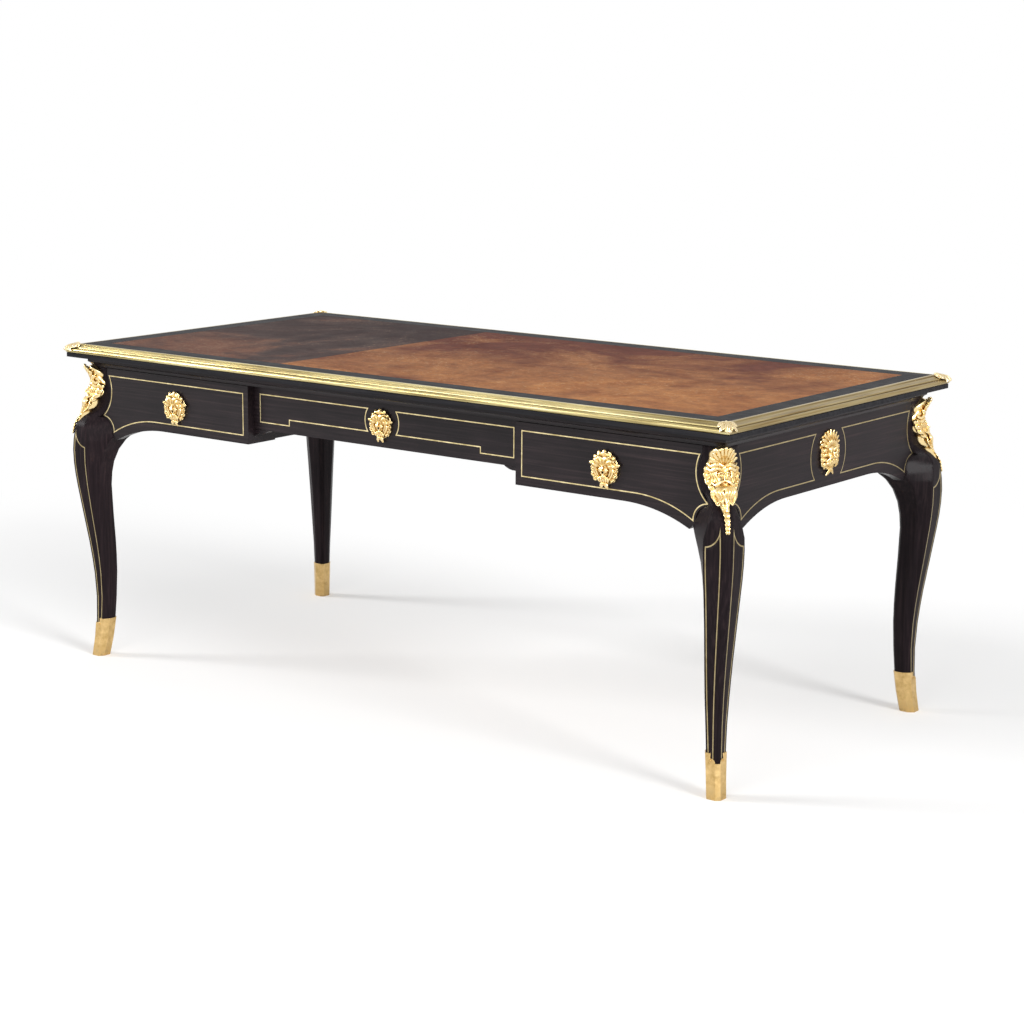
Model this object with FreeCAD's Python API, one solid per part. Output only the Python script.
import FreeCAD, Part
import math
import os
from FreeCAD import Vector

# A writing desk with a flat leather top, three drawers, cabriole legs, brass edge and gilt bronze mounts.
# Millimetres. Origin on the floor under the middle of the top, +X along the length, drawers face -Y, +Z up.

# Overall sizes
height = 780.0                # floor to writing surface
top_length = 1904.0           # over the brass edge
top_depth = 918.0             # over the brass edge
end_overhang = 42.0           # brass edge beyond the end of the frieze
front_overhang = 48.0         # brass edge beyond the drawer fronts

# Top
top_thickness = 31.0          # writing surface to underside of the board
brass_height = 21.0           # height of the brass edge moulding
brass_width = 29.0            # brass seen from above
board_reveal = 2.0            # dark board edge set back under the brass
brass_roll = 5.5              # radius of the lower roll
brass_fillet = 2.0            # flat between the roll and the bead
brass_bead = 2.8              # radius of the small bead above the roll
brass_step = 1.2              # height of each small step
brass_lip = 7.5               # thumb moulding and flat along the upper edge
brass_thumb = 3.0             # rounded part of that lip
brass_hollow = 1.2            # depth of the hollow between bead and lip
leather_border = 49.0         # wooden border between brass and leather
leather_thickness = 1.6
leather_seam = -314.0         # where the two skins meet
leather_gap = 0.4             # shadow line round each skin
clasp_reach = 21.0            # shell clasp over each brass corner, along each edge
clasp_neck = 9.0              # the same at its upper and lower ends
clasp_lap = 3.0               # over the board, beyond the brass
clasp_thick = 5.0             # at the mitre
clasp_flute = 1.2
clasp_gap = 0.4               # clear of the brass
clasp_flutes = 10

# Frieze and rails
rail_height = 24.0
rail_width = 62.0
cornice_step = 8.0            # rail moulding beyond the frieze
cornice_hollow = 11.0         # height of the hollow under the moulding
frieze_height = 137.5
panel_thickness = 22.0        # drawer fronts and aprons
pedestal_inner = 390.0        # half width of the kneehole
centre_setback = 20.0
centre_height = 104.0         # middle drawer front
partition_thickness = 18.0
partition_step = 3.0          # rise in the lower edge of each partition
partition_step_run = 90.0
bracket_reach = 46.0          # ogee brackets beside the kneehole
bracket_hollow = 3.5
bracket_swell = 2.0
drawer_gap = 1.2              # clearance round every drawer front

# Scribed joint between frieze panels and legs, given as (in from the corner, above the apron line)
sweep_start = 240.0           # apron edge starts to sweep down to the leg
toe_in, toe_drop = 78.5, 37.5
lower_cusp_in, lower_cusp_drop = 64.0, 23.5
round_in, round_rise = 55.5, 4.0
cusp_in, cusp_rise = 27.5, 15.5
waist_in, waist_rise = 59.0, 70.5
head_in = 51.0

# Legs: half sections at heights given as shares of the apron height or of the frieze height.
# out: faces beyond the frieze, cant: width cut off the corner, face: width of each outer face,
# ear: inner side behind the corner, lip: front edge of that side, inner: cut off the inner corner
shaft_stations = [
    # share, out, cant, face, ear, lip, inner
    (0.000, 16.5, 7.0, 26.5, 17.5, 6.0, 5.0),
    (0.077, 11.5, 7.2, 27.5, 24.5, -2.0, 5.0),
    (0.160, 8.7, 7.6, 29.3, 29.8, -5.0, 5.0),
    (0.255, 8.0, 8.0, 32.0, 33.4, -7.0, 6.0),
    (0.357, 11.0, 9.0, 36.5, 35.4, -6.0, 6.0),
    (0.426, 14.7, 9.7, 39.5, 35.6, -4.0, 6.5),
    (0.494, 19.2, 10.5, 42.5, 35.0, -1.0, 7.0),
    (0.613, 28.5, 12.0, 48.0, 32.8, 7.7, 8.0),
    (0.732, 37.5, 13.0, 54.0, 31.4, 16.0, 9.0),
    (0.785, 41.0, 13.5, 57.0, 33.3, 18.0, 9.5),
    (0.834, 43.3, 14.0, 59.0, 37.6, 18.0, 10.0),
    (0.885, 44.0, 14.0, 60.0, 46.5, 17.0, 10.0),
    (0.928, 43.0, 14.5, 59.0, 60.0, 9.0, 10.0),
    (0.962, 41.0, 15.0, 52.0, 74.0, -4.0, 10.0),
]
post_stations = [
    (-0.040, 38.3, 15.5, 46.0, 66.0, -6.0, 9.0),
    (0.018, 34.0, 16.0, 40.0, 66.0, -8.0, 8.0),
    (0.080, 28.0, 17.5, 35.0, 66.0, -14.0, 7.0),
    (0.150, 19.0, 19.0, 31.5, 66.0, -20.0, 6.0),
    (0.220, 10.0, 19.0, 36.0, 66.0, -21.0, 6.0),
    (0.290, 3.5, 19.0, 45.0, 66.0, -17.0, 6.0),
    (0.375, 0.4, 20.0, 56.0, 66.0, -10.0, 6.0),
    (0.450, 0.0, 25.0, 60.0, 66.0, -6.0, 6.0),
    (0.520, 0.0, 31.0, 60.0, 66.0, -6.0, 6.0),
    (0.670, 0.0, 36.0, 60.0, 66.0, -6.0, 6.0),
    (0.760, 0.0, 31.0, 60.0, 66.0, -6.0, 6.0),
    (0.850, 0.0, 21.0, 60.0, 66.0, -6.0, 6.0),
    (0.930, 0.0, 10.0, 60.0, 66.0, -6.0, 6.0),
    (1.000, 0.0, 3.0, 60.0, 66.0, -6.0, 6.0),
]
post_size = 66.0
ear_reach = 135.0             # inner bracket of the leg behind each apron
ear_tip = 7.0                 # blunt end of that bracket
ear_curve_in, ear_curve_drop = 82.0, 20.0
ear_root_in, ear_root_drop = 44.0, 62.0
ear_heel = 15.0               # bracket runs into the leg as far as this from the corner

# Sabots
sabot_height = 95.0
sabot_wall = 1.8
sabot_sole = 3.0
sabot_dip = 20.0              # upper edge drops at the canted corner
sabot_dip_half = 5.5
sabot_lobe_in, sabot_lobe_drop = 9.5, 11.0
sabot_peak_in = 26.0          # upper edge reaches full height this far from the corner
sabot_swoop = 2.8             # sag of the edge between peak and lobe
sabot_round = 1.0             # swell of the lobe
screw_sides = 8
screw_head = 2.6
screw_shank = 1.3
screw_length = 10.0
screw_seat = 0.5              # head let into the sabot
screw_drop = 15.0             # screw below the upper edge of the sabot

# Stringing
string_width = 2.4
string_depth = 1.2
string_margin = 3.0           # wood left between stringing and a scribed edge
string_top = 18.5             # below the top of the frieze
string_low = 19.0             # above the apron edge
string_side = 15.0            # in from the kneehole edge
string_sweep = 215.0
centre_string_low = 18.0
centre_step_in = 93.0         # stepped lower corner of each middle panel
centre_step_rise = 13.5
mask_bow_half = 39.0          # stringing stops this far from the middle of a drawer mask
mask_bow = 9.0
end_bow_half = 52.0
end_bow = 19.0
leg_string_outer = 4.0        # from the canted corner
leg_string_inner = 4.0        # from the inner edge of the face
leg_string_tip = 13.0         # tip below the apron line
leg_string_shoulder = 57.0    # inner line starts below the apron line
leg_string_sag = 6.0
leg_string_merge = 8.0        # the lines merge over this many widths below the tip

# Drawers
drawer_length = 560.0
drawer_travel = 400.0
drawer_side = 10.0
drawer_bottom = 6.0
drawer_groove = 4.0
drawer_rise = 14.5            # drawer sides above the lower edge of the front
drawer_drop = 13.0            # drawer sides below the top of the front
runner_width = 24.0
runner_gap = 0.4
side_gap = 2.0
block_length = 70.0
block_width = 22.0

# Locks
lock_width = 56.0
lock_depth = 11.0
lock_below_key = 14.0
bolt_width = 22.0
bolt_thickness = 5.0
bolt_length = 34.0
bolt_throw = 8.0
bolt_gap = 0.4
key_hole = 4.0                # radius

# Masks: outlines as (degrees from the top, distance from the key hole or middle)
mask_outline = [(0, 46.0), (62, 42.0), (88, 41.0), (106, 33.0), (150, 25.0), (166, 32.0), (180, 34.0)]
end_mask_outline = [(0, 55.0), (30, 51.0), (52, 40.0), (75, 31.0), (120, 28.0), (150, 31.0), (166, 46.0),
                    (180, 42.0)]
mask_face, end_mask_face = 16.0, 21.0
mask_relief, end_mask_relief = 11.0, 13.0
mask_plate = 2.0
mask_leaves = 14
mask_leaf_depth = 6.0         # between the leaf tips, on the upper half
centre_mask_size = 0.92       # the middle mask is a smaller casting
mask_key_up = 55.0            # key hole of an outer mask above the apron line
centre_key_drop = 59.0        # key hole of the middle mask below the top of the frieze

# Corner mounts: (share of frieze height, half width, stands proud of the canted corner)
mount_stations = [
    (1.000, 16.0, 29.0),
    (0.965, 26.0, 16.0),
    (0.880, 34.0, 14.0),
    (0.760, 36.0, 27.0),
    (0.640, 38.0, 31.0),
    (0.520, 36.0, 29.0),
    (0.400, 27.0, 27.0),
    (0.270, 22.0, 22.0),
    (0.160, 16.0, 14.0),
    (0.090, 7.0, 8.0),
    (0.030, 6.0, 6.0),
    (-0.080, 6.0, 5.5),
    (-0.200, 4.0, 4.5),
]
mount_ribs = 9
mount_ribbed = 10.0           # half width from which the ribs show

# Worked out
half_length = top_length / 2
half_depth = top_depth / 2
end_face = half_length - end_overhang
front_face = half_depth - front_overhang
board_under = height - top_thickness
brass_under = height - brass_height
frieze_top = board_under - rail_height
apron_line = frieze_top - frieze_height
front_top = frieze_top - drawer_gap
string_line = frieze_top - string_top
centre_line = frieze_top - centre_height
mask_key = apron_line + mask_key_up
centre_key = frieze_top - centre_key_drop
far = top_length                # longer than any piece


def box(x0, x1, y0, y1, z0, z1):
    return Part.makeBox(x1 - x0, y1 - y0, z1 - z0, Vector(x0, y0, z0))


def elevation(x, z):
    """A point of an outline drawn in front view, on the plane y = 0."""
    return Vector(x, 0, z)


def line(a, b):
    return Part.LineSegment(a, b).toShape()


def arc(a, middle, b):
    return Part.Arc(a, middle, b).toShape()


def chain(points):
    return [line(a, b) for a, b in zip(points, points[1:])]


def slab(edges, thickness, grow=0.0):
    """Extrude a closed outline in front view backwards from y = 0."""
    outline = Part.Wire(edges)
    if grow:
        outline = outline.makeOffset2D(grow, 2)
    return Part.Face(outline).extrude(Vector(0, thickness, 0))


def strip(edges, inset=string_width):
    """An inlaid line just inside a closed outline in front view, from y = 0 backwards."""
    outer = Part.Wire(edges)
    inner = outer.makeOffset2D(-inset, 2)
    ring = Part.Face(outer).cut(Part.Face(inner))
    return ring.extrude(Vector(0, string_depth, 0)).Solids[0]


def mirror_x(shape):
    return shape.mirror(Vector(0, 0, 0), Vector(1, 0, 0))


def mirror_y(shape):
    return shape.mirror(Vector(0, 0, 0), Vector(0, 1, 0))


def four_corners(shape):
    """The front right piece and its mirror images: front right, front left, back right, back left."""
    left = mirror_x(shape)
    return [shape, left, mirror_y(shape), mirror_y(left)]


def to_front(shape, setback=0.0):
    return shape.translated(Vector(0, setback - front_face, 0))


def to_back(shape, setback=0.0):
    return mirror_y(to_front(shape, setback))


def to_right_end(shape):
    turned = shape.copy()
    turned.rotate(Vector(0, 0, 0), Vector(0, 0, 1), 90)
    return turned.translated(Vector(end_face, 0, 0))


def save(name, shapes):
    if not isinstance(shapes, list):
        shapes = [shapes]
    solids = [solid for shape in shapes for solid in shape.Solids]
    out = solids[0] if len(solids) == 1 else Part.makeCompound(solids)
    out.exportStep("parts/%s.step" % name)


# Scribed outlines

def sweep(half, start, low, end_in, end_z):
    """Arc that leaves a level edge and sweeps down to a point beside the leg at x = half."""
    a = elevation(half - start, low)
    b = elevation(half - end_in, end_z)
    run = b.x - a.x
    drop = a.z - b.z
    radius = (run * run + drop * drop) / (2 * drop)
    turn = math.asin(run / radius) / 2
    middle = elevation(a.x + radius * math.sin(turn), a.z - radius * (1 - math.cos(turn)))
    return arc(a, middle, b)


def scribed_side(half, dx=0.0, dz=0.0):
    """The curved edge against the leg, from the lower cusp up to its head."""
    lower = elevation(half - lower_cusp_in + dx, apron_line - lower_cusp_drop + dz)
    bulge = elevation(half - round_in + dx, apron_line + round_rise + dz)
    cusp = elevation(half - cusp_in + dx, apron_line + cusp_rise + dz)
    waist = elevation(half - waist_in + dx, apron_line + waist_rise + dz)
    head = elevation(half - head_in + dx, string_line)
    return [arc(lower, bulge, cusp), arc(cusp, waist, head)]


def panel_end(half, top):
    """Lower edge and scribed side of a frieze panel, from the level edge up to the top."""
    toe = elevation(half - toe_in, apron_line - toe_drop)
    lower = elevation(half - lower_cusp_in, apron_line - lower_cusp_drop)
    head = elevation(half - head_in, string_line)
    swept = sweep(half, sweep_start, apron_line, toe_in, apron_line - toe_drop)
    return [swept, line(toe, lower)] + scribed_side(half) + [line(head, elevation(head.x, top))]


def flipped(edges):
    """Outline edges mirrored to the other end, in running order."""
    return [edge.mirror(Vector(0, 0, 0), Vector(1, 0, 0)) for edge in reversed(edges)]


def outer_outline(inner, top):
    """Outer drawer front on the right, between the kneehole and the leg."""
    close = chain([elevation(end_face - head_in, top), elevation(inner, top), elevation(inner, apron_line),
                   elevation(end_face - sweep_start, apron_line)])
    return panel_end(end_face, top) + close


def end_outline():
    right = panel_end(front_face, frieze_top)
    left = flipped(right)
    high = front_face - head_in
    low = front_face - sweep_start
    over = line(elevation(high, frieze_top), elevation(-high, frieze_top))
    under = line(elevation(-low, apron_line), elevation(low, apron_line))
    return right + [over] + left + [under]


def outer_string():
    dx, dz = -1.5 * string_margin, 0.7 * string_margin
    side = scribed_side(end_face, dx, dz)
    start = side[0].Vertexes[0].Point
    head = side[1].Vertexes[-1].Point
    low = apron_line + string_low
    inner = pedestal_inner + string_side
    swept = sweep(end_face, string_sweep, low, end_face - start.x, start.z)
    close = chain([head, elevation(inner, string_line), elevation(inner, low),
                   elevation(end_face - string_sweep, low)])
    return [swept] + side + close


def centre_string():
    """Right hand panel of the middle drawer, with a stepped corner and a bowed inner end."""
    side = pedestal_inner - drawer_gap - string_side - string_margin
    low = centre_line + centre_string_low
    high = low + centre_step_rise
    step = side - centre_step_in
    middle = (string_line + high) / 2
    bow = arc(elevation(mask_bow_half, high), elevation(mask_bow_half + mask_bow, middle),
              elevation(mask_bow_half, string_line))
    rest = chain([elevation(mask_bow_half, string_line), elevation(side, string_line), elevation(side, low),
                  elevation(step, low), elevation(step, high), elevation(mask_bow_half, high)])
    return [bow] + rest


def end_string():
    dx, dz = -1.5 * string_margin, 0.7 * string_margin
    side = scribed_side(front_face, dx, dz)
    start = side[0].Vertexes[0].Point
    head = side[1].Vertexes[-1].Point
    low = apron_line + string_low
    swept = sweep(front_face, string_sweep, low, front_face - start.x, start.z)
    top_in = elevation(end_bow_half, string_line)
    low_in = elevation(end_bow_half, low)
    bow = arc(top_in, elevation(end_bow_half + end_bow, (string_line + low) / 2), low_in)
    flat = line(low_in, elevation(front_face - string_sweep, low))
    return [swept] + side + [line(head, top_in), bow, flat]


# Legs

def station_z(share, upper):
    return apron_line + share * frieze_height if upper else share * apron_line


def leg_stations():
    lower = [(station_z(row[0], False),) + row[1:] for row in shaft_stations]
    upper = [(station_z(row[0], True),) + row[1:] for row in post_stations]
    return lower + upper


def corner_point(p, q, z):
    """A point p beyond the end and q beyond the front of the frieze, at the front right corner."""
    return Vector(end_face + p, -front_face - q, z)


def leg_section(station, grow=0.0):
    z, out, cant, face, ear, lip, inner = station
    cut = grow * (2 - math.sqrt(2))
    out, ear, cant, inner = out + grow, ear + grow, cant + cut, inner + cut
    face = face + 2 * grow - cut
    lip = lip + grow - cut
    half = [(out, out - cant), (out - cant, out), (out - face, out), (-ear, lip), (-ear, inner - ear)]
    other = [(q, p) for p, q in reversed(half)]
    points = [corner_point(p, q, z) for p, q in half[1:] + other[:-1]]
    return Part.makePolygon(points + points[:1])


def across_corner(shape):
    """Mirror a piece about the upright plane through the front right corner."""
    return shape.mirror(Vector(end_face, -front_face, 0), Vector(1, 1, 0).normalize())


def ear_profile(half):
    """Bracket seen from the front, with its lower edge sweeping down into the leg at x = half."""
    top = apron_line + runner_gap
    tip_top = elevation(half - ear_reach, top)
    tip_low = elevation(half - ear_reach, apron_line - ear_tip)
    curve = elevation(half - ear_curve_in, apron_line - ear_curve_drop)
    root = elevation(half - ear_root_in, apron_line - ear_root_drop)
    heel = half - ear_heel
    return [arc(tip_low, curve, root)] + chain([root, elevation(heel, root.z), elevation(heel, top),
                                                tip_top, tip_low])


def leg_ear():
    """Bracket of the leg behind the drawer front, rounded the same way on its inner side."""
    start = panel_thickness + drawer_gap
    across = to_front(slab(ear_profile(end_face), post_size - start), start)
    inward = mirror_y(to_right_end(slab(ear_profile(front_face), ear_reach)))
    return across.common(inward)


def scribe_cutter(grow):
    """Space of an outer drawer front, from its back face outwards."""
    reach = post_size
    cutter = slab(outer_outline(pedestal_inner, frieze_top), panel_thickness + grow + reach, grow)
    return to_front(cutter, -reach)


def bare_leg():
    sections = [leg_section(station) for station in leg_stations()]
    body = Part.makeLoft(sections, True, True)
    ear = leg_ear()
    whole = body.fuse([ear, across_corner(ear)])
    return whole.cut(box(-far, far, -far, far, -far, sabot_sole))


def leg_at(z):
    """Sizes of the leg at a height, between its stations."""
    rows = leg_stations()
    for low, high in zip(rows, rows[1:]):
        if low[0] <= z <= high[0]:
            share = (z - low[0]) / (high[0] - low[0])
            return [a + (b - a) * share for a, b in zip(low[1:], high[1:])]
    return rows[-1][1:]


def leg_string_outline(inset):
    """Two long lines on the front face, joined at the top by a curve that rises to a point."""
    foot = sabot_height - sabot_dip
    tip = apron_line - leg_string_tip - leg_string_merge * inset
    shoulder = apron_line - leg_string_shoulder - inset

    def outer(z):
        out, cant = leg_at(z)[:2]
        return elevation(end_face + out - cant - leg_string_outer - inset, z)

    def inner(z):
        out, cant, face = leg_at(z)[:3]
        return elevation(end_face + out - face + leg_string_inner + inset, z)

    def long_line(side, top):
        levels = [row[0] for row in leg_stations() if foot < row[0] < top]
        return chain([side(z) for z in [foot] + levels + [top]])

    start, end = inner(shoulder), outer(tip)
    sag = elevation((start.x + end.x) / 2, shoulder + leg_string_sag)
    chord = line(start, end)
    hollow = Part.Face(Part.Wire([chord, arc(end, sag, start)]))
    edges = [line(inner(foot), outer(foot)), chord] + long_line(outer, tip) + long_line(inner, shoulder)
    return Part.Face(Part.Wire(Part.__sortEdges__(edges))).cut(hollow)


def leg_strings(leg):
    """The inlaid lines in the front face of a leg, from the curve down into the sabot."""
    ring = leg_string_outline(0.0).cut(leg_string_outline(string_width))
    ring = to_front(ring.extrude(Vector(0, 2 * post_size, 0)), -post_size)
    skin = leg.common(ring).cut(leg.translated(Vector(0, string_depth, 0)))
    return max(skin.Solids, key=lambda piece: piece.Volume)


def sabot(leg):
    rows = [row for row in leg_stations() if row[0] < 2 * sabot_height]
    body = Part.makeLoft([leg_section(row, sabot_wall) for row in rows], True, True)
    body = body.common(box(-far, far, -far, far, 0, sabot_height))
    # the upper edge swoops down from the inner corners to a lobe and dips at the canted corner
    low = sabot_height - sabot_dip
    lobe = elevation(-sabot_lobe_in, sabot_height - sabot_lobe_drop)
    peak = elevation(-sabot_peak_in, sabot_height + 1)
    dip = elevation(-sabot_dip_half, low)
    swoop = arc(peak, (peak + lobe) * 0.5 - Vector(0, 0, sabot_swoop), lobe)
    drop = arc(lobe, (lobe + dip) * 0.5 + Vector(sabot_round, 0, sabot_round), dip)
    sides = [swoop, drop]
    floor = line(dip, elevation(sabot_dip_half, low))
    lid = line(elevation(sabot_peak_in, sabot_height + 1), peak)
    notch = Part.Face(Part.Wire(sides + [floor] + flipped(sides) + [lid])).extrude(Vector(0, -far, 0))
    notch.rotate(Vector(0, 0, 0), Vector(0, 0, 1), 45)
    notch = notch.translated(corner_point(0, 0, 0))
    return body.cut([notch, leg])


def prism(radius, start, length):
    """Many-sided bar running back from a point."""
    turns = [2 * math.pi * i / screw_sides for i in range(screw_sides + 1)]
    ring = [start + Vector(radius * math.cos(turn), 0, radius * math.sin(turn)) for turn in turns]
    return Part.Face(Part.makePolygon(ring)).extrude(Vector(0, length, 0))


def sabot_screw():
    """Round headed screw on the front face of the front right sabot."""
    z = sabot_height - screw_drop
    out, cant, face = leg_at(z)[:3]
    seat = corner_point(out - (cant + face) / 2, out + sabot_wall, z)
    head = prism(screw_head, seat - Vector(0, screw_head / 2, 0), screw_head / 2 + screw_seat)
    return head.fuse(prism(screw_shank, seat, screw_length)).removeSplitter()


# Ornament

def fan_cap(row):
    """Triangles from the middle of a row of points to its edge."""
    middle = sum(row, Vector(0, 0, 0)) * (1.0 / len(row))
    return [(a, b, middle) for a, b in zip(row, row[1:] + row[:1])]


def strip_cap(row):
    """Triangles between the first half of a row and the second half, which runs back beside it."""
    half = len(row) // 2
    there, back = row[:half], row[half:][::-1]
    lower = [(there[i], there[i + 1], back[i + 1]) for i in range(half - 1)]
    upper = [(there[i], back[i + 1], back[i]) for i in range(half - 1)]
    return lower + upper


def skin(rows, cap=None):
    """Solid skinned with triangles over rows of points, closed in a ring or capped at both ends."""
    triangles = []
    for near, next_row in zip(rows, rows[1:] if cap else rows[1:] + rows[:1]):
        for i in range(len(near)):
            j = (i + 1) % len(near)
            triangles += [(near[i], near[j], next_row[j]), (near[i], next_row[j], next_row[i])]
    if cap:
        triangles += cap(rows[0]) + cap(rows[-1])
    faces = [Part.Face(Part.makePolygon([a, b, c, a])) for a, b, c in triangles]
    return Part.Solid(Part.Shell(faces))


def reach_at(outline, degrees):
    """Distance from the middle to an outline, eased between its points."""
    for (start, near), (end, other) in zip(outline, outline[1:]):
        if start <= degrees <= end:
            share = (1 - math.cos(math.pi * (degrees - start) / (end - start))) / 2
            return near + (other - near) * share
    return outline[-1][1]


def mask(outline, face, relief, key_z, size=1.0, hole=0.0):
    """Leafy mask in relief on the plane y = 0: a face inside a ring of leaves, with a ribbon below."""
    spokes = 2 * mask_leaves

    def ring(share, depth, valley=1.0, width=None):
        row = []
        for i in range(spokes):
            angle = 2 * math.pi * i / spokes
            reach = width or size * share * reach_at(outline, abs(180 - abs(math.degrees(angle) - 180)))
            lowered = depth
            if i % 2 and not width:
                reach -= size * share * mask_leaf_depth * max(math.cos(angle), 0.2)
                lowered = depth * valley
            row.append(Vector(reach * math.sin(angle), -lowered, key_z + reach * math.cos(angle)))
        return row

    rows = [ring(1.0, 0), ring(1.0, mask_plate), ring(0.78, relief * 0.75, 0.55), ring(0.52, relief * 0.5),
            ring(1.0, relief * 0.95, width=size * face)]
    if hole:
        return skin(rows + [ring(1.0, relief, width=hole), ring(1.0, 0, width=hole)])
    return skin(rows + [ring(1.0, relief, width=size * face / 2)], fan_cap)


def corner_mount(leg):
    """Foliate mask that fills the hollow corner and hangs down over the knee."""

    def corner_out(z):
        out, cant = leg_at(z)[:2]
        return out * math.sqrt(2) - cant / math.sqrt(2)

    def point(t, w, z):
        return corner_point((t + w) / math.sqrt(2), (t - w) / math.sqrt(2), z)

    rows = []
    for share, half, proud in mount_stations:
        z = apron_line + share * frieze_height
        base = corner_out(min(z, frieze_top))
        row = []
        for i in range(mount_ribs):
            angle = math.pi * i / (mount_ribs - 1)
            crest = 1.0 if i % 2 == 0 or half < mount_ribbed else 0.9
            row.append(point(base + proud * math.sin(angle) * crest - half * 0.4 * abs(math.cos(angle)),
                             -half * math.cos(angle), z))
        row.append(point(base - half, half * 0.5, z))
        row.append(point(base - half, -half * 0.5, z))
        rows.append(row)
    return skin(rows, fan_cap).cut(leg)


def corner_clasp():
    """Fluted shell bent over the mitre of the brass edge, just clear of it."""
    lip = brass_width - brass_lip
    bead_top = brass_under + 2 * brass_roll + brass_step + brass_bead
    roll_side = brass_under + brass_roll
    # profile as (inward, height, half reach along the edge), from the board down to the roll
    profile = [(brass_width + clasp_lap, height + clasp_gap, clasp_neck),
               (lip, height + clasp_gap, clasp_reach),
               (brass_roll + brass_bead, bead_top + clasp_gap, clasp_reach),
               (-clasp_gap, roll_side + brass_roll - clasp_gap, clasp_reach),
               (-clasp_gap, roll_side - brass_roll / 2, clasp_neck)]

    def place(inward, z, along):
        x = half_length - inward - max(-along, 0)
        y = half_depth - inward - max(along, 0)
        return Vector(x, -y, z)

    rows = []
    for i in range(clasp_flutes + 1):
        share = 2 * i / clasp_flutes - 1
        thick = clasp_thick * (1 - 0.7 * share * share) - (clasp_flute if i % 2 else 0)
        under = [place(inward, z, share * reach) for inward, z, reach in profile]
        over = [place(inward - thick * 0.6, z + thick * 0.8, share * reach) for inward, z, reach in profile]
        over[0] = place(profile[0][0], height + thick * 0.6, share * clasp_neck)
        over[-1] = place(-clasp_gap - thick * 0.8, profile[-1][1], share * clasp_neck)
        rows.append(under + over[::-1])
    return skin(rows, strip_cap)


# Top

def mitred(profile, length, depth):
    """Front moulding of a rectangle: profile drawn as (inward, z) from the outer edge, cut at 45 degrees."""
    half_x, half_y = length / 2, depth / 2
    bar = Part.Face(Part.Wire(profile)).extrude(Vector(length, 0, 0))
    bar = bar.translated(Vector(-half_x, -half_y, 0))
    reach = min(half_x, half_y) / 2
    corners = [Vector(-half_x, -half_y, 0), Vector(half_x, -half_y, 0),
               Vector(half_x - reach, reach - half_y, 0), Vector(reach - half_x, reach - half_y, 0)]
    wedge = Part.Face(Part.makePolygon(corners + corners[:1])).extrude(Vector(0, 0, height))
    return bar.common(wedge)


def side_profile(y, z):
    return Vector(0, y, z)


def brass_profile():
    """Roll below, then a bead, a hollow and a thumb moulding at the top."""
    base = brass_under
    roll_top = base + 2 * brass_roll
    heel = brass_roll + brass_fillet
    bead_low = side_profile(heel, roll_top + brass_step)
    bead_top = bead_low + Vector(0, brass_bead, brass_bead)
    bead_mid = bead_top + Vector(0, -math.sin(math.pi / 4), math.cos(math.pi / 4) - 1) * brass_bead
    lip = side_profile(brass_width - brass_lip, height - 2 * brass_step)
    thumb_low = lip + Vector(0, 0, brass_step)
    thumb_top = side_profile(brass_width - brass_lip + brass_thumb, height)
    thumb_mid = (thumb_low + thumb_top) * 0.5 + Vector(0, -brass_step / 4, brass_step / 4)
    hollow = (bead_top + lip) * 0.5 - Vector(0, 0, brass_hollow)
    roll = arc(side_profile(brass_roll, base), side_profile(0, base + brass_roll),
               side_profile(brass_roll, roll_top))
    below = chain([side_profile(brass_width, base), side_profile(brass_roll, base)])
    quirk = chain([side_profile(brass_roll, roll_top), side_profile(heel, roll_top), bead_low])
    upper = [arc(bead_low, bead_mid, bead_top), arc(bead_top, hollow, lip), line(lip, thumb_low),
             arc(thumb_low, thumb_mid, thumb_top)]
    after = chain([thumb_top, side_profile(brass_width, height), side_profile(brass_width, base)])
    return below + [roll] + quirk + upper + after


def rail_profile():
    inside = cornice_step + rail_width
    hollow_top = frieze_top + cornice_hollow
    hollow = arc(side_profile(cornice_step, frieze_top),
                 side_profile(cornice_step * 0.7, frieze_top + cornice_hollow * 0.6),
                 side_profile(0, hollow_top))
    rest = chain([side_profile(0, hollow_top), side_profile(0, board_under),
                  side_profile(inside, board_under), side_profile(inside, frieze_top),
                  side_profile(cornice_step, frieze_top)])
    return [hollow] + rest


def frame_of(profile, length, depth):
    """Front, back, left and right mouldings of a mitred frame."""
    front = mitred(profile, length, depth)
    right = mitred(profile, depth, length)
    right.rotate(Vector(0, 0, 0), Vector(0, 0, 1), 90)
    return {"front": front, "back": mirror_y(front), "left": mirror_x(right), "right": right}


def top_board():
    outer_x, outer_y = half_length - board_reveal, half_depth - board_reveal
    inner_x, inner_y = half_length - brass_width, half_depth - brass_width
    lower = box(-outer_x, outer_x, -outer_y, outer_y, board_under, brass_under)
    upper = box(-inner_x, inner_x, -inner_y, inner_y, brass_under, height)
    skin_x, skin_y = inner_x - leather_border, inner_y - leather_border
    recess = box(-skin_x, skin_x, -skin_y, skin_y, height - leather_thickness, height)
    return lower.fuse(upper).cut(recess).removeSplitter()


def leather_skins():
    skin_x = half_length - brass_width - leather_border - leather_gap
    skin_y = half_depth - brass_width - leather_border - leather_gap
    low = height - leather_thickness
    left = box(-skin_x, leather_seam - leather_gap / 2, -skin_y, skin_y, low, height)
    right = box(leather_seam + leather_gap / 2, skin_x, -skin_y, skin_y, low, height)
    return left, right


# Carcase

def partition():
    """Right hand wall of the kneehole, with a small step in its lower edge."""
    y = front_face - panel_thickness
    wall = box(pedestal_inner, pedestal_inner + partition_thickness, -y, y, apron_line, frieze_top)
    step_y = front_face - partition_step_run
    step = box(pedestal_inner, pedestal_inner + partition_thickness, -step_y, step_y,
               apron_line, apron_line + partition_step)
    return wall.cut(step)


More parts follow.
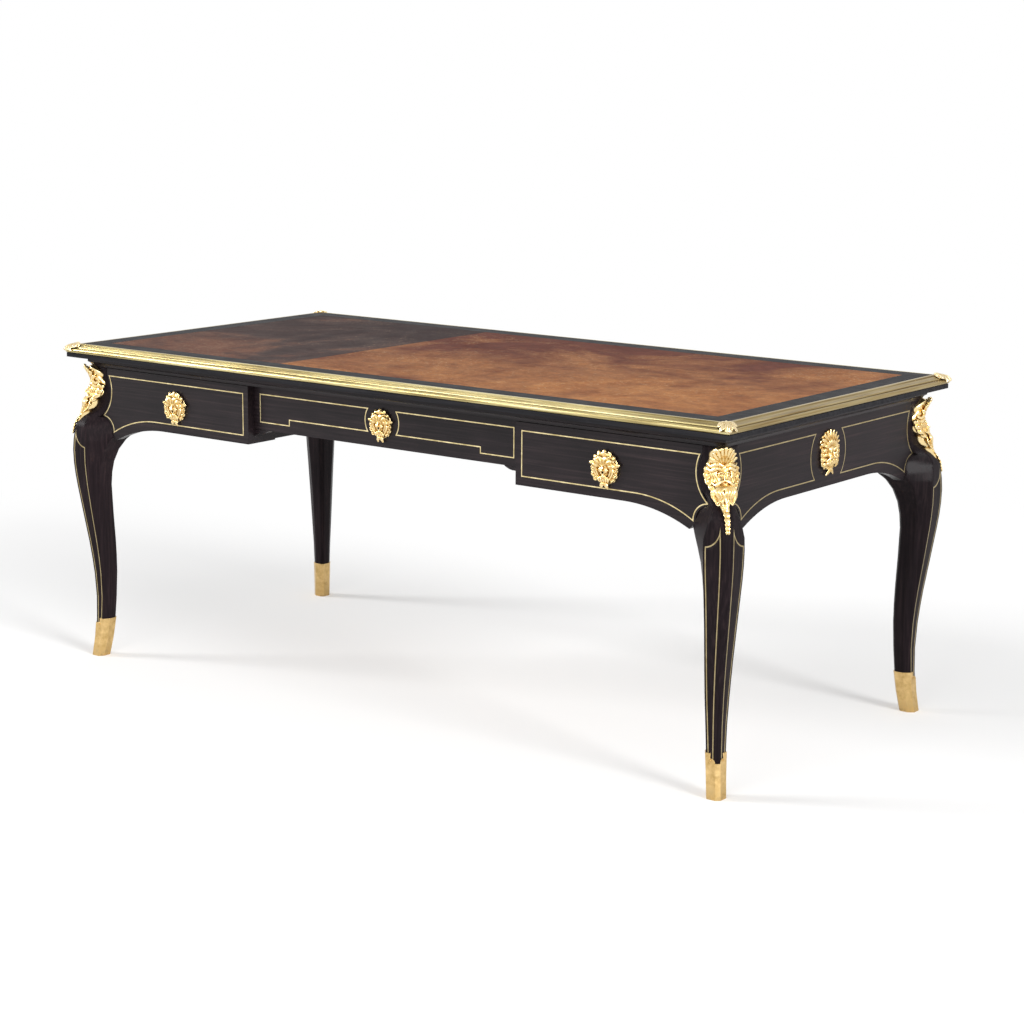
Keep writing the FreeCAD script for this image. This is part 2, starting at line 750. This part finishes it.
def kneehole_bracket():
    """Ogee bracket under the middle front, against the right hand partition."""
    side = pedestal_inner
    low = apron_line + (centre_line - apron_line) / 2
    tip = elevation(side - bracket_reach, centre_line)
    turn = elevation(side - bracket_reach / 2, (centre_line + low) / 2)
    heel = elevation(side, low)
    hollow = arc(tip, elevation(side - bracket_reach * 0.8, turn.z + bracket_hollow), turn)
    swell = arc(turn, elevation(side - bracket_reach * 0.2, turn.z - bracket_swell), heel)
    edges = [hollow, swell] + chain([heel, elevation(side, centre_line), tip])
    return to_front(slab(edges, panel_thickness), centre_setback)


def runners():
    """Bearers under the drawer sides: two for each outer drawer and two for the middle one."""
    y = front_face - panel_thickness - drawer_gap
    low, high = apron_line + runner_gap, apron_line + drawer_rise - runner_gap
    outer_x = end_face - post_size
    outer = box(outer_x - runner_width, outer_x, -y, y, low, high)
    inner_x = pedestal_inner + partition_thickness
    inner = box(inner_x, inner_x + runner_width, -y, y, low + partition_step, high)
    rise = centre_line - apron_line
    middle_y = y - centre_setback
    middle = box(pedestal_inner - runner_width, pedestal_inner, -middle_y, middle_y,
                 low + rise, high + rise)
    right = [outer, inner, middle]
    return right + [mirror_x(piece) for piece in right]


def kickers():
    """Strips over the drawer sides that keep an open drawer level."""
    y = front_face - rail_width
    low, high = frieze_top - drawer_drop + runner_gap, board_under
    outer_x = end_face - post_size
    outer = box(outer_x - runner_width, outer_x, -y, y, low, high)
    inner_x = pedestal_inner + partition_thickness
    inner = box(inner_x, inner_x + runner_width, -y, y, low, high)
    middle = box(pedestal_inner - runner_width, pedestal_inner, -y, y, low, high)
    right = [outer, inner, middle]
    return right + [mirror_x(piece) for piece in right]


def glue_blocks(places):
    """Blocks in the angle between the long rails and the underside of the board."""
    y = front_face - rail_width
    blocks = []
    for x in places:
        block = box(x - block_length / 2, x + block_length / 2, -y, block_width - y, frieze_top, board_under)
        blocks += [block, mirror_x(block), mirror_y(block), mirror_x(mirror_y(block))]
    return blocks


# Drawers

def drawer(name, outline, strings, x0, x1, low, key_x, key_z, setback, mask_size=1.0):
    """Front, box, bottom, stringing, mask, lock and bolt of one drawer."""
    front = to_front(slab(outline, panel_thickness), setback)
    inlay = [to_front(strip(edges), setback) for edges in strings]
    face_y = setback - front_face
    back_y = face_y + panel_thickness
    end_y = back_y + drawer_length
    bottom_z = low + drawer_rise
    top_z = frieze_top - drawer_drop - drawer_gap
    left = box(x0, x0 + drawer_side, back_y, end_y, bottom_z, top_z)
    right = box(x1 - drawer_side, x1, back_y, end_y, bottom_z, top_z)
    rear = box(x0 + drawer_side, x1 - drawer_side, end_y - drawer_side, end_y,
               bottom_z + drawer_groove + drawer_bottom, top_z)
    base = box(x0 + drawer_side - drawer_groove, x1 - drawer_side + drawer_groove,
               back_y - drawer_groove, end_y, bottom_z + drawer_groove,
               bottom_z + drawer_groove + drawer_bottom)
    lock_low = key_z - lock_below_key
    lock_y = back_y - lock_depth
    case = box(key_x - lock_width / 2, key_x + lock_width / 2, lock_y, back_y, lock_low, front_top)
    bolt_y = lock_y + lock_depth / 2
    bolt = box(key_x - bolt_width / 2, key_x + bolt_width / 2, bolt_y - bolt_thickness / 2,
               bolt_y + bolt_thickness / 2, front_top - bolt_length, front_top)
    channel = box(key_x - bolt_width / 2 - bolt_gap, key_x + bolt_width / 2 + bolt_gap,
                  bolt_y - bolt_thickness / 2 - bolt_gap, bolt_y + bolt_thickness / 2 + bolt_gap,
                  front_top - bolt_length, front_top)
    key = Part.makeCylinder(key_hole, lock_depth / 2 + far, Vector(key_x, bolt_y, key_z), Vector(0, -1, 0))
    front = front.cut(inlay + [base, case, key])
    ornament = to_front(mask(mask_outline, mask_face, mask_relief, key_z, mask_size, key_hole), setback)
    save(name + "_front", front)
    save(name + "_box", [left.cut(base), right.cut(base), rear])
    save(name + "_bottom", base)
    save(name + "_stringing", inlay)
    save(name + "_mask", ornament.translated(Vector(key_x, 0, 0)))
    save(name + "_lock", case.cut([channel, key]))
    save(name + "_bolt", bolt)


def bolt_mortise(key_x, setback):
    bolt_y = setback - front_face + panel_thickness - lock_depth / 2
    play = bolt_gap * 2
    return box(key_x - bolt_width / 2 - play, key_x + bolt_width / 2 + play,
               bolt_y - bolt_thickness / 2 - play, bolt_y + bolt_thickness / 2 + play,
               frieze_top, frieze_top + bolt_throw + play)


def build_drawers(outer_key_x):
    inner = pedestal_inner
    box_in = inner + partition_thickness + side_gap
    box_out = end_face - post_size - side_gap
    outline = outer_outline(inner, front_top)
    drawer("drawer_right", outline, [outer_string()], box_in, box_out, apron_line, outer_key_x, mask_key, 0.0)
    drawer("drawer_left", flipped(outline), [flipped(outer_string())], -box_out, -box_in, apron_line,
           -outer_key_x, mask_key, 0.0)
    side = inner - drawer_gap
    low = centre_line + drawer_gap / 2
    edges = chain([elevation(-side, low), elevation(side, low), elevation(side, front_top),
                   elevation(-side, front_top), elevation(-side, low)])
    strings = [centre_string(), flipped(centre_string())]
    box_side = inner - side_gap
    drawer("drawer_centre", edges, strings, -box_side, box_side, centre_line, 0.0, centre_key, centre_setback,
           centre_mask_size)


def build_back(outer_key_x):
    """The reverse shows three false drawers with the same stringing and masks."""
    right_inlay = to_back(strip(outer_string()))
    right = to_back(slab(outer_outline(pedestal_inner, frieze_top), panel_thickness)).cut(right_inlay)
    side = pedestal_inner
    edges = chain([elevation(-side, centre_line), elevation(side, centre_line), elevation(side, frieze_top),
                   elevation(-side, frieze_top), elevation(-side, centre_line)])
    panel = to_back(strip(centre_string()), centre_setback)
    middle_inlay = [panel, mirror_x(panel)]
    middle = to_back(slab(edges, panel_thickness), centre_setback).cut(middle_inlay)
    outer = to_back(mask(mask_outline, mask_face, mask_relief, mask_key))
    outer = outer.translated(Vector(outer_key_x, 0, 0))
    centre = to_back(mask(mask_outline, mask_face, mask_relief, centre_key, centre_mask_size), centre_setback)
    save("back_apron_right", right)
    save("back_apron_left", mirror_x(right))
    save("back_apron_centre", middle)
    save("back_stringing", [right_inlay, mirror_x(right_inlay)] + middle_inlay)
    save("back_masks", [outer, mirror_x(outer), centre])


def build_ends():
    half = to_right_end(strip(end_string()))
    inlay = [half, mirror_y(half)]
    apron = to_right_end(slab(end_outline(), panel_thickness)).cut(inlay)
    middle = (string_line + apron_line + string_low) / 2
    ornament = to_right_end(mask(end_mask_outline, end_mask_face, end_mask_relief, middle))
    save("end_apron_right", apron)
    save("end_apron_left", mirror_x(apron))
    save("end_stringing", inlay + [mirror_x(piece) for piece in inlay])
    save("end_masks", [ornament, mirror_x(ornament)])


def build_legs():
    bare = bare_leg()
    fixed = across_corner(scribe_cutter(0.0))
    strings = leg_strings(bare)
    inlays = [strings, across_corner(strings)]
    shoe = sabot(bare)
    screw = sabot_screw()
    screws = [screw, across_corner(screw)]
    shoe = shoe.cut(screws)
    carved = bare.cut(fixed)
    front_leg = carved.cut(scribe_cutter(drawer_gap / 2)).cut(inlays).cut(screws)
    back_leg = carved.cut(scribe_cutter(0.0)).cut(inlays).cut(screws)
    mount = corner_mount(carved)
    save("leg_front_right", front_leg)
    save("leg_front_left", mirror_x(front_leg))
    save("leg_back_right", mirror_y(back_leg))
    save("leg_back_left", mirror_y(mirror_x(back_leg)))
    save("leg_stringing", [corner for piece in inlays for corner in four_corners(piece)])
    save("sabots", four_corners(shoe))
    save("sabot_screws", [corner for piece in screws for corner in four_corners(piece)])
    save("corner_mounts", four_corners(mount))


def build_top():
    board = top_board()
    edges = frame_of(brass_profile(), top_length, top_depth)
    left, right = leather_skins()
    save("top_board", board)
    save("leather_left", left)
    save("leather_right", right)
    for side, piece in edges.items():
        save("brass_edge_" + side, piece)
    save("corner_clasps", four_corners(corner_clasp()))


def build_rails(outer_key_x):
    length = 2 * (end_face + cornice_step)
    depth = 2 * (front_face + cornice_step)
    rails = frame_of(rail_profile(), length, depth)
    mortises = [bolt_mortise(outer_key_x, 0), bolt_mortise(-outer_key_x, 0), bolt_mortise(0, centre_setback)]
    rails["front"] = rails["front"].cut(mortises)
    for side, piece in rails.items():
        save("top_rail_" + side, piece)


def build_carcase(outer_key_x):
    wall = partition()
    bracket = kneehole_bracket()
    save("partition_right", wall)
    save("partition_left", mirror_x(wall))
    save("kneehole_brackets", four_corners(bracket))
    save("drawer_runners", runners())
    save("drawer_kickers", kickers())
    save("glue_blocks", glue_blocks([pedestal_inner / 2, outer_key_x]))


def main():
    os.makedirs("parts", exist_ok=True)
    outer_key_x = (pedestal_inner + end_face - head_in) / 2
    build_legs()
    build_ends()
    build_back(outer_key_x)
    build_rails(outer_key_x)
    build_carcase(outer_key_x)
    build_top()
    build_drawers(outer_key_x)


main()
